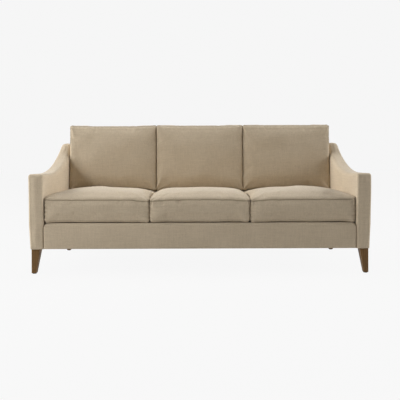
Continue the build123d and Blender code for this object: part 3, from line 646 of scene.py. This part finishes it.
def outside_back(name):
    """Covered panel across the outside back: a rounded rectangle up the rake with rolled edges, swelling a
    little."""
    thick, edge, corner, swell_depth = 0.008, 0.006, 0.014, 0.0016
    low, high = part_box("outside_back_panel")
    foot, head = low[2] / math.cos(RAKE), PANEL_TOP / math.cos(RAKE)
    u, v, gap = corner_grid(float(high[0]), (head - foot) / 2, corner, 0.02, edge)
    v = v + (head + foot) / 2
    swell = swell_depth * np.clip(gap / 0.08, 0, 1) * (1 + 0.6 * ripple(u, v, 21, 0.6))
    sheets = []
    for n in (quarter(gap, edge) - swell, np.full(u.shape, thick)):
        y, z = up_the_rake(n, v)
        sheets.append(np.stack([u, y, z], -1))
    piece = sew(name, sheets + [np.stack([rim_of(sheet) for sheet in sheets], 1)])
    return piece


def platform(name):
    """Platform under the seat cushions: a flat pad with rolled edges and a faint ripple, up to its cloth."""
    edge, corner, wave = 0.010, 0.008, 0.0006
    low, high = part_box("deck_pad")
    top = float(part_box("deck_cover")[1][2])
    mid = (low[1] + high[1]) / 2
    u, v, gap = corner_grid(float(high[0]), float(high[1] - low[1]) / 2, corner, 0.02, edge)
    upper = np.stack([u, v + mid, top - quarter(gap, edge) - wave * (1 + ripple(u, v, 31, 0.3))], -1)
    lower = np.stack([u, v + mid, np.full(u.shape, float(low[2]))], -1)
    piece = sew(name, [upper, lower, np.stack([rim_of(upper), rim_of(lower)], 1)])
    return piece


def dust_sheet(name):
    """Dust cover under the frame: one sheet stapled along its edges, hanging slightly between them."""
    columns, rows, hang, thick = 121, 61, 0.0022, 0.0009
    low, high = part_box("dust_cover")
    x = np.linspace(low[0], high[0], columns)[:, None] * np.ones((1, rows))
    y = np.linspace(low[1], high[1], rows)[None, :] * np.ones((columns, 1))
    a, b = (x - low[0]) / (high[0] - low[0]), (y - low[1]) / (high[1] - low[1])
    sag = hang * (np.sin(math.pi * a) * np.sin(math.pi * b)) ** 0.5 * (1 + 0.3 * ripple(x, y, 41, 0.4))
    piece = sew(name, [np.stack([x, y, high[2] - 0.0002 - sag], -1)])
    fold = piece.modifiers.new("cloth_thickness", "SOLIDIFY")
    fold.thickness = thick
    fold.offset = 0
    return piece


# Loose cushions

# Share of a crown by the distance in metres from the seat's front or the back cushion's foot
SEAT_FALL = ((0.0, 1.0), (.240, 1.0), (.380, .95), (.480, .74), (.560, .42), (.630, .20), (.672, .08))
VALLEY_FALL = ((0.0, 1.0), (.200, 1.0), (.360, .66), (.540, .26), (.672, .10))
ARM_SIDE_FALL = ((0.0, 1.0), (.560, 1.0), (.672, .5))
BACK_CROWN = ((0.0, .30), (.018, .60), (.090, .93), (.200, 1.0), (.315, .90), (.400, .70), (.435, .54),
              (.460, .36))
VOXEL = 0.006
BACK_SPARE = 0.012
BACK_LIFT = 0.0025
PRESSURE = 4.0
SWELL_CAP = 0.016
START = ("start_x", "start_y", "start_z")


def eased(share):
    """Share held to 0..1, with a slow start and end."""
    share = np.clip(share, 0, 1)
    return share ** 2 * (3 - 2 * share)


def by_the_arm(x, centre):
    """1 on the half of an outer cushion that lies by the arm and 0 on the other, easing over 160 mm between
    them, and 0 on the middle cushion."""
    return eased(0.5 + (x - centre) * np.sign(centre) / 0.16) * np.abs(np.sign(centre))


def corner_dip(side, ahead, arm):
    """Droop of the front seam towards the corner where two seat cushions meet."""
    return 0.0105 * np.exp(-(side / 0.085) ** 2 - (ahead / 0.06) ** 2) * (1 - arm)


def seat_pad(name, centre, width):
    """Boxed seat cushion before it is filled: a rounded plan, flat below, straight boxing and a top that
    climbs steeply from the front seam, then slowly over a quarter metre, and falls to the rear by a table.
    Across it, a base along both sides, a lip near the sides and a dome are added up. By the arm the base
    and the lip are lower in front and the dome is higher."""
    spare, end_spare, low_edge, sunk = 0.004, 0.0015, 0.004, 0.003
    steep_share, steep_run, slow_run = 0.42, 0.011, 0.25
    arm_base, valley_base, arm_dome, valley_dome = 0.026, 0.030, 0.022, 0.012
    arm_lip, valley_lip, lip_run = 0.006, 0.012, 0.03
    half_w, half_l = width / 2 + spare, (SEAT_REAR - SEAT_FRONT) / 2 - end_spare
    middle = (SEAT_REAR + SEAT_FRONT) / 2
    u, v, gap = corner_grid(half_w, half_l, 0.016, 0.012, 0.030)
    along = v + middle - SEAT_FRONT
    arm = by_the_arm(u + centre, centre)
    side = half_w - np.abs(u)
    steep = 1 - np.exp(-along / steep_run)
    slow = 1 - (1 - np.clip(along / slow_run, 0, 1)) ** 1.6
    climb = steep_share * steep + (1 - steep_share) * slow
    base = (arm_base * arm * smooth_table(along, ARM_SIDE_FALL)
            + valley_base * (1 - arm) * smooth_table(along, VALLEY_FALL))
    lip = (valley_lip + (arm_lip - valley_lip) * arm) * (1 - np.exp(-side / lip_run))
    dome = (arm_dome * arm * (1 - np.abs(u / half_w) ** 1.6)
            + valley_dome * (1 - arm) * (1 - (u / half_w) ** 2))
    rise = climb * (base + (lip + dome) * smooth_table(along, SEAT_FALL)) - sunk
    upper = np.stack([u + centre, v + middle, SEAT_SEAM + rise - corner_dip(side, along, arm)], -1)
    lower = np.stack([u + centre, v + middle, SEAT_LOW + 0.0005 + quarter(gap, low_edge)], -1)
    return sew(name, [upper, lower, straight_cap(rim_of(upper), rim_of(lower), 25)])


def back_face(u, up, half_w):
    """Distance of a back cushion's face from the outside back: the boxing and a crown by the table up the
    rake, lower along both sides."""
    edge_crown, roll_crown, roll_run, middle_crown, sunk = 0.015, 0.009, 0.016, 0.018, 0.003
    across = 1 - np.clip(np.abs(u / half_w), 0, 1) ** 2
    roll = np.sqrt(np.maximum(1 - (1 - np.clip((half_w - np.abs(u)) / roll_run, 0, 1)) ** 2, 0))
    crown = smooth_table(up, BACK_CROWN) * (edge_crown + roll_crown * roll + middle_crown * across)
    return BACK_REAR + BACK_BOX + crown - sunk


def back_pad(name, centre, width):
    """Boxed back cushion before it is filled: a rounded outline up the rake, flat behind, straight boxing
    and a crowned face, wider than its cover by a spare that is pressed flat later."""
    rear_edge = 0.012
    half_w, half_l = width / 2 + BACK_SPARE, BACK_TALL / 2
    u, v, gap = corner_grid(half_w, half_l, 0.022, 0.012, 0.026)
    up = v + BACK_TALL / 2 + BACK_LIFT
    sheets = []
    for layer in (back_face(u, up, half_w), BACK_REAR + 0.0015 + quarter(gap, rear_edge)):
        y, z = up_the_rake(layer, up + BACK_FOOT)
        sheets.append(np.stack([u + centre, y, z], -1))
    return sew(name, sheets + [straight_cap(rim_of(sheets[0]), rim_of(sheets[1]), 21)])


def settle(piece):
    """Gives a piece the shape that its modifiers make."""
    fresh = bpy.data.meshes.new_from_object(piece.evaluated_get(bpy.context.evaluated_depsgraph_get()))
    piece.modifiers.clear()
    old, piece.data = piece.data, fresh
    bpy.data.meshes.remove(old)
    fresh.shade_smooth()


def reskin(piece, size):
    """Even skin of square cells over a piece."""
    skin = piece.modifiers.new("skin", "REMESH")
    skin.mode = "VOXEL"
    skin.voxel_size = size
    settle(piece)


def fill(pieces, pressure, cap):
    """Fills cushions: cloth under even pressure without weight for twenty steps. Each point's move is
    shortened so that it stays under cap."""
    steps = 20
    scene = bpy.context.scene
    for piece in pieces:
        cloth = piece.modifiers.new("filling", "CLOTH")
        cloth.settings.use_pressure = True
        cloth.settings.uniform_pressure_force = pressure
        cloth.settings.effector_weights.gravity = 0
        cloth.settings.quality = 4
        cloth.point_cache.frame_start = 1
        cloth.point_cache.frame_end = steps
    scene.frame_start, scene.frame_end = 1, steps
    for step in range(1, steps + 1):
        scene.frame_set(step)
    graph = bpy.context.evaluated_depsgraph_get()
    swollen = []
    for piece in pieces:
        full = bpy.data.meshes.new_from_object(piece.evaluated_get(graph))
        swollen.append(points_of(full))
        bpy.data.meshes.remove(full)
    for piece, full in zip(pieces, swollen):
        piece.modifiers.clear()
        start = points_of(piece.data)
        move = full - start
        far = np.linalg.norm(move, axis=1, keepdims=True)
        put_points(piece.data, start + move * cap / np.maximum(far + cap, 1e-9))
    scene.frame_set(1)


def refine(piece):
    """One subdivision, keeping the values at the points."""
    finer = piece.modifiers.new("finer", "SUBSURF")
    finer.levels = finer.render_levels = 1
    settle(piece)


def value_of(mesh, name):
    """Values kept at the points of a mesh under a name."""
    flat = np.empty(len(mesh.vertices))
    mesh.attributes[name].data.foreach_get("value", flat)
    return flat


def keep_start(piece):
    """Keeps where each point started."""
    for name, values in zip(START, points_of(piece.data).T):
        mark(piece.data, name, values)


def started(mesh):
    """Where each point started."""
    return np.stack([value_of(mesh, name) for name in START], 1)


def clear_start(mesh):
    """Forgets where each point started."""
    for name in START:
        mesh.attributes.remove(mesh.attributes[name])


def soft_limit(value, limit, ease):
    """Value held below a limit, easing in over a short distance."""
    over = (value - limit + ease) / ease
    return np.where(over > 0, limit - ease + ease * (1 - np.exp(-over)), value)


def finish_seat(piece, centre, width, seed):
    """Seat cushion after filling: pressed flat against its neighbours, flat below, with seams round the top
    and bottom of the boxing as narrow grooves, a roll over the front seam, gathers at the front corners,
    slow dents on top, a lower edge that laps the border in front, and its rear held under the back
    cushions' zips."""
    press, ease, groove = 0.0012, 0.0015, 0.0036
    front_limit, rear_limit = SEAT_FRONT - 0.0045, SEAT_REAR - 0.0022
    undercut, undercut_tall, lap_depth = 0.004, 0.010, 0.0024
    under_zip, zip_front = 0.4486, 0.205
    seam_drop, low_seam, upper_wide, lower_wide, rim_wide = 0.0040, 0.0095, 0.0034, 0.0030, 0.014
    roll_high, roll_tall, front_run = 0.0030, 0.032, 0.03
    gather_high, gather_reach, gather_count, gather_tall = 0.0024, 0.07, 11, 0.06
    dent_deep, dent_long, box_wave, box_wave_long = 0.0018, 0.32, 0.0012, 0.22
    post_reach, pucker_high, pucker_pitch = 0.022, (0.0016, 0.0010), (0.027, 0.0113)
    mesh = piece.data
    points, start = points_of(mesh), started(mesh)
    x, y, z = points.T
    sx, sy, sz = start.T
    half = width / 2
    side = half - np.abs(sx - centre)
    ahead, behind = sy - SEAT_FRONT, SEAT_REAR - sy
    edge = np.minimum(side, np.minimum(ahead, behind))
    inside, on = np.maximum(side, 0), np.maximum(ahead, 0)
    arm = by_the_arm(sx, centre)
    line = SEAT_SEAM - seam_drop - corner_dip(inside, on, arm)
    top = np.clip((sz - line + 0.002) / 0.01, 0, 1)
    x = centre + np.sign(x - centre) * soft_limit(np.abs(x - centre), half + press + press * arm, ease)
    y = soft_limit(y, rear_limit, 0.004)
    y = -soft_limit(-y, -front_limit, 0.004)
    fore = np.clip(1 - ahead / front_run, 0, 1)
    near_foot = np.clip((SEAT_LOW + undercut_tall - sz) / undercut_tall, 0, 1)
    y = y + undercut * near_foot ** 1.3 * (fore > 0.4)
    lap = lap_depth * np.clip(1 - ahead / 0.014, 0, 1)
    z = np.maximum(z - lap * np.clip((SEAT_LOW + 0.03 - sz) / 0.03, 0, 1), SEAT_LOW - lap)
    put_points(mesh, np.stack([x, y, z], 1))
    normal = normals_of(mesh)
    rim = edge < rim_wide
    upper = np.exp(-((sz - line) / upper_wide) ** 2) * rim
    lower = np.exp(-((sz - SEAT_LOW - low_seam) / lower_wide) ** 2) * rim
    shaded_seam = np.maximum(upper, 0.6 * lower)
    roll = roll_high * np.sin(math.pi * np.clip((sz - line - 0.002) / roll_tall, 0, 1)) * fore
    from_corner = np.hypot(on, inside)
    around = np.arctan2(on + 0.004, inside + 0.004)
    gather = np.exp(-(from_corner / gather_reach) ** 2) * np.sin(around * gather_count + seed) * gather_high
    gather = gather * np.clip(1 - np.abs(sz - line) / gather_tall, 0, 1)
    dent = dent_deep * ripple(sx, sy, seed, dent_long) * top * np.clip(edge / 0.08, 0, 1)
    boxing = box_wave * ripple(sx + sy, sz * 2, seed + 50, box_wave_long) * (1 - top)
    post = np.exp(-(from_corner / post_reach) ** 2) * (1 - top)
    pucker = (pucker_high[0] * np.sin(2 * math.pi * sz / pucker_pitch[0] + seed)
              + pucker_high[1] * np.sin(2 * math.pi * sz / pucker_pitch[1]))
    shift = gather + dent + boxing + post * pucker + roll - groove * shaded_seam
    points = np.stack([x, y, z], 1) + normal * shift[:, None]
    points[:, 2] = np.maximum(points[:, 2], SEAT_LOW - lap)
    points[:, 2] = np.minimum(points[:, 2], under_zip + 0.05 * np.clip((zip_front - sy) / 0.03, 0, 1))
    put_points(mesh, points)
    # Painted shade along the seam lines round the top and bottom of the boxing, kept on the mesh to darken the
    # linen's colour.
    mark(mesh, "shaded_seam", np.clip(shaded_seam * 1.15 - 0.1, 0, 1) * 0.66)
    clear_start(mesh)


def finish_back(piece, centre, width, seed, slump):
    """Back cushion after filling: pressed flat against its neighbours and fuller over the arms, its lower
    corners sagging and the middle of its head slumping, with seams round the face and rear of the boxing,
    gathers at its corners and along its head, and slow dents in front."""
    press, ease, over_arm_press, groove = 0.0012, 0.0015, 0.008, 0.0020
    arm_clear, arm_clear_tall = 0.760, 0.040
    head_lift, head_spare, corner_sag = 0.003, 0.009, 0.017
    side_fill, arm_fill, fill_run = 0.003, 0.007, 0.035
    front_seam, rear_seam, rear_seam_wide, rim_wide = 0.0052, 0.012, 0.0030, 0.014
    dent_deep, dent_long, roll_high, roll_tall = 0.0030, 0.34, 0.0024, 0.030
    fold_high, fold_pitch, fold_reach, gather_high = 0.0007, 0.031, 0.028, 0.0022
    foot_gathers, head_gathers = (0.10, 10), (0.055, 8)
    mesh = piece.data
    points, start = points_of(mesh), started(mesh)

    def local(p):
        """Across, up the rake from the foot, and forward of the outside back."""
        y, z = p[:, 1] - REAR_FOOT, p[:, 2]
        return (p[:, 0] - centre, y * math.sin(RAKE) + z * math.cos(RAKE) - BACK_FOOT,
                z * math.sin(RAKE) - y * math.cos(RAKE))

    u, v, n = local(points)
    su, sv, sn = local(start)
    half, half_spare = width / 2, width / 2 + BACK_SPARE
    arm = by_the_arm(su + centre, centre)
    over_arm = eased((start[:, 2] - arm_clear) / arm_clear_tall)
    reach = half + press + (press + over_arm_press * over_arm) * arm
    u = np.sign(u) * soft_limit(np.abs(u), reach, ease)
    v = -soft_limit(-v, -0.0024, 0.004)
    v = soft_limit(v + head_lift * np.clip((sv - 0.38) / 0.06, 0, 1), BACK_TALL + head_spare, 0.003)
    v = v - corner_sag * np.abs(su / half) ** 4 * np.exp(-np.maximum(sv, 0) / 0.05)
    v = v - slump * (1 - np.clip(np.abs(su / half), 0, 1) ** 3) * np.clip(sv / BACK_TALL, 0, 1) ** 4
    side = np.maximum(half_spare - np.abs(su), 0)
    below = np.maximum(back_face(su, sv, half_spare) - sn, 0)
    face = np.clip(1 - below / 0.012, 0, 1)
    near_side = np.exp(-(np.maximum(side - 0.010, 0) / fill_run) ** 2)
    n = np.maximum(n, BACK_REAR) + (side_fill + arm_fill * arm) * near_side * face
    y, z = up_the_rake(n, v + BACK_FOOT)
    put_points(mesh, np.stack([u + centre, y, z], 1))
    normal = normals_of(mesh)
    foot, head = np.maximum(sv - BACK_LIFT, 0), np.maximum(BACK_TALL + BACK_LIFT - sv, 0)
    edge = np.minimum(side, np.minimum(foot, head))
    fore = np.exp(-(edge ** 2 + below ** 2) / front_seam ** 2)
    aft = np.exp(-((sn - BACK_REAR - rear_seam) / rear_seam_wide) ** 2) * (edge < rim_wide)
    shaded_seam = np.maximum(fore, aft)
    dent = dent_deep * ripple(su, sv, seed, dent_long) * np.clip(edge / 0.09, 0, 1)
    roll = roll_high * np.sin(math.pi * np.clip((head - 0.005) / roll_tall, 0, 1)) * np.clip(side / 0.03, 0, 1)
    fold = np.sin(su * 2 * math.pi / fold_pitch + 2 * ripple(su, sv, seed + 7, 0.2))
    shift = dent + roll + fold_high * fold * np.exp(-(head / fold_reach) ** 2)
    for tall, (size, count) in ((foot, foot_gathers), (head, head_gathers)):
        corner = np.exp(-(np.hypot(tall, side) / size) ** 2)
        around = np.arctan2(tall + 0.004, side + 0.004)
        shift = shift + corner * np.sin(around * count + seed) * gather_high
    points = np.stack([u + centre, y, z], 1) + normal * (shift * face - groove * shaded_seam)[:, None]
    points[:, 0] = centre + np.clip(points[:, 0] - centre, -reach, reach)
    put_points(mesh, points)
    # Painted shade: the seams are darkened, most along the head, and a painted dark band runs along the head
    # edge where the lamps light the rounded top brightly.
    at_head = np.exp(-(head / 0.012) ** 2)
    painted_edge_shade = np.exp(-(head / 0.0095) ** 2) * np.clip(1 - below / 0.020, 0, 1)
    # Painted shade on the outer side above the arm, darkening the rounded edge that the side lamp lights.
    outer = np.exp(-(np.maximum(side - 0.004, 0) / 0.009) ** 2) * np.clip(1 - below / 0.03, 0, 1) * over_arm
    painted_edge_shade = np.maximum(painted_edge_shade, outer * arm)
    painted_seam_shade = np.clip(shaded_seam * 1.4 - 0.1, 0, 1) * (0.10 + 0.90 * at_head)
    mark(mesh, "shaded_seam", np.maximum(painted_seam_shade, 0.85 * painted_edge_shade))
    clear_start(mesh)


Cushion = namedtuple("Cushion", "side centre width seed slump")
SEATS = (Cushion("left", -0.604, 0.616, 3, 0.0), Cushion("middle", 0.0, 0.586, 5, 0.0),
         Cushion("right", 0.604, 0.616, 8, 0.0))
BACKS = (Cushion("left", -0.609, 0.606, 13, 0.005), Cushion("middle", 0.0, 0.606, 17, 0.002),
         Cushion("right", 0.609, 0.606, 19, 0.0))

seat_cushions = [seat_pad(f"{seat.side}_seat_cushion_pad", seat.centre, seat.width) for seat in SEATS]
back_cushions = [back_pad(f"{back.side}_back_cushion_pad", back.centre, back.width) for back in BACKS]
for cushion in seat_cushions + back_cushions:
    reskin(cushion, VOXEL)
    keep_start(cushion)
fill(seat_cushions, PRESSURE, SWELL_CAP)
fill(back_cushions, PRESSURE, SWELL_CAP)
for cushion, seat in zip(seat_cushions, SEATS):
    refine(cushion)
    finish_seat(cushion, seat.centre, seat.width, seat.seed)
    dress(cushion, linen, f"{seat.side}_seat_cushion", "upholstery", f"{seat.side}_seat_cover",
          f"{seat.side}_seat_core")
for cushion, back in zip(back_cushions, BACKS):
    refine(cushion)
    finish_back(cushion, back.centre, back.width, back.seed, back.slump)
    dress(cushion, linen, f"{back.side}_back_cushion", "upholstery", f"{back.side}_back_cover",
          f"{back.side}_back_core")

dress(arm_cover("right_arm_padding", 1), linen, "frame", "upholstery", "right_arm_cover")
dress(arm_cover("left_arm_padding", -1), linen, "frame", "upholstery", "left_arm_cover")
dress(front_border("front_border_padding"), linen, "frame", "upholstery", "front_border")
dress(inside_back("inside_back_padding"), linen, "frame", "upholstery", "back_pad")
dress(outside_back("outside_back_cover"), linen, "frame", "upholstery", "outside_back_panel")
dress(platform("seat_platform"), platform_cloth, "frame", "platform_cloth", "deck_pad", "deck_cover")
dress(dust_sheet("dust_sheet"), dust_cloth, "frame", "dust_cloth", "dust_cover")

# The parts that keep their solid shapes take the finish of their slot
for part in frame["record"]["subparts"]:
    node = frame["nodes"][part["node"]]
    node.data.materials.clear()
    node.data.materials.append(FINISHES[part["material_slot"]])

# Floor, light and camera


def floor_finish():
    """Pale floor: the camera sees it as an even pale ground with a light trace of the object's shadow."""
    made, tree, surface = new_finish("pale_floor")
    surface.inputs["Base Color"].default_value = (0.80, 0.79, 0.78, 1)
    surface.inputs["Roughness"].default_value = 0.9
    surface.inputs["Specular IOR Level"].default_value = 0.1
    glow = add_node(tree, "ShaderNodeEmission", Strength=1.0)
    glow.inputs["Color"].default_value = (0.946, 0.946, 0.946, 1)
    even = reckon(tree, "MULTIPLY", seen_directly(tree), 0.97)
    mix = add_node(tree, "ShaderNodeMixShader", [(0, even), (1, surface.outputs[0]), (2, glow.outputs[0])])
    tree.links.new(mix.outputs[0], tree.nodes["Material Output"].inputs["Surface"])
    return made


def pale_world():
    """Pale surroundings: an even soft light, shown to the camera in a pale grey like the floor's."""
    world = bpy.data.worlds.new("pale_surroundings")
    bpy.context.scene.world = world
    world.use_nodes = True
    tree = world.node_tree
    soft = tree.nodes["Background"]
    soft.inputs["Color"].default_value = (1.0, 0.985, 0.96, 1)
    soft.inputs["Strength"].default_value = 0.030
    shown = add_node(tree, "ShaderNodeBackground", Strength=1.0)
    shown.inputs["Color"].default_value = (0.921, 0.921, 0.921, 1)
    mix = add_node(tree, "ShaderNodeMixShader",
                   [(0, seen_directly(tree)), (1, soft.outputs[0]), (2, shown.outputs[0])])
    tree.links.new(mix.outputs[0], tree.nodes["World Output"].inputs["Surface"])


def softbox(name, place, aim, wide, tall, watts):
    """Rectangular lamp at a place, turned to a point."""
    lamp = bpy.data.lights.new(name, "AREA")
    lamp.shape = "RECTANGLE"
    lamp.size, lamp.size_y = wide, tall
    lamp.energy = watts
    holder = bpy.data.objects.new(name, lamp)
    holder.visible_camera = False
    bpy.context.scene.collection.objects.link(holder)
    back = np.array(place, float) - np.array(aim, float)
    back /= np.linalg.norm(back)
    right = np.cross((0, 0, 1), back) if abs(back[2]) < 0.99 else np.array((1.0, 0, 0))
    right /= np.linalg.norm(right)
    up = np.cross(back, right)
    turn = np.eye(4)
    turn[:3, 0], turn[:3, 1], turn[:3, 2], turn[:3, 3] = right, up, back, place
    holder.matrix_world = Matrix(turn.tolist())
    return holder


FLOOR_LINE = np.linspace(-30, 30, 3)
across, along = np.meshgrid(FLOOR_LINE, FLOOR_LINE, indexing="ij")
floor = sew("pale_floor", [np.stack([across, along, np.zeros(across.shape)], -1)])
floor.data.materials.append(floor_finish())
floor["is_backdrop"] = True
pale_world()
SOFA_MIDDLE = (0.0, -0.1, 0.5)
softbox("top_softbox", (0.0, 0.6, 3.0), SOFA_MIDDLE, 3.0, 1.2, 31.5)
softbox("front_left_softbox", (-2.8, -1.55, 1.8), (0.0, 0.2, 0.5), 0.7, 0.8, 31.0)
softbox("right_side_softbox", (8.0, -0.5, 3.4), SOFA_MIDDLE, 3.5, 3.5, 512.0)
softbox("left_side_softbox", (-8.0, -0.5, 3.4), SOFA_MIDDLE, 3.5, 3.5, 514.0)

# Camera fitted to the photograph, with its focal length and rise in the photograph's pixels
PHOTO_PIXELS = 400
FOCAL_PIXELS = 468.05
RISE_PIXELS = -23.72
SENSOR_MM = 36.0
CAMERA_PLACE = (-0.0018, -3.1331, 0.6497)
CAMERA_PAN, CAMERA_TILT, CAMERA_ROLL = math.radians(-0.065), math.radians(90 - 1.7), math.radians(-0.188)
lens = bpy.data.cameras.new("front_view")
lens.sensor_width = SENSOR_MM
lens.lens = FOCAL_PIXELS / PHOTO_PIXELS * SENSOR_MM
lens.shift_y = RISE_PIXELS / PHOTO_PIXELS
lens.clip_end = 100
camera = bpy.data.objects.new("front_view", lens)
bpy.context.scene.collection.objects.link(camera)
camera.matrix_world = (Matrix.Translation(CAMERA_PLACE) @ Matrix.Rotation(CAMERA_PAN, 4, "Z")
                       @ Matrix.Rotation(CAMERA_TILT, 4, "X") @ Matrix.Rotation(CAMERA_ROLL, 4, "Z"))
bpy.context.scene.camera = camera
bpy.context.scene.view_settings.view_transform = "Standard"

[[list(map(float, corner)) for corner in box] for box in (cad_box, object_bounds())]
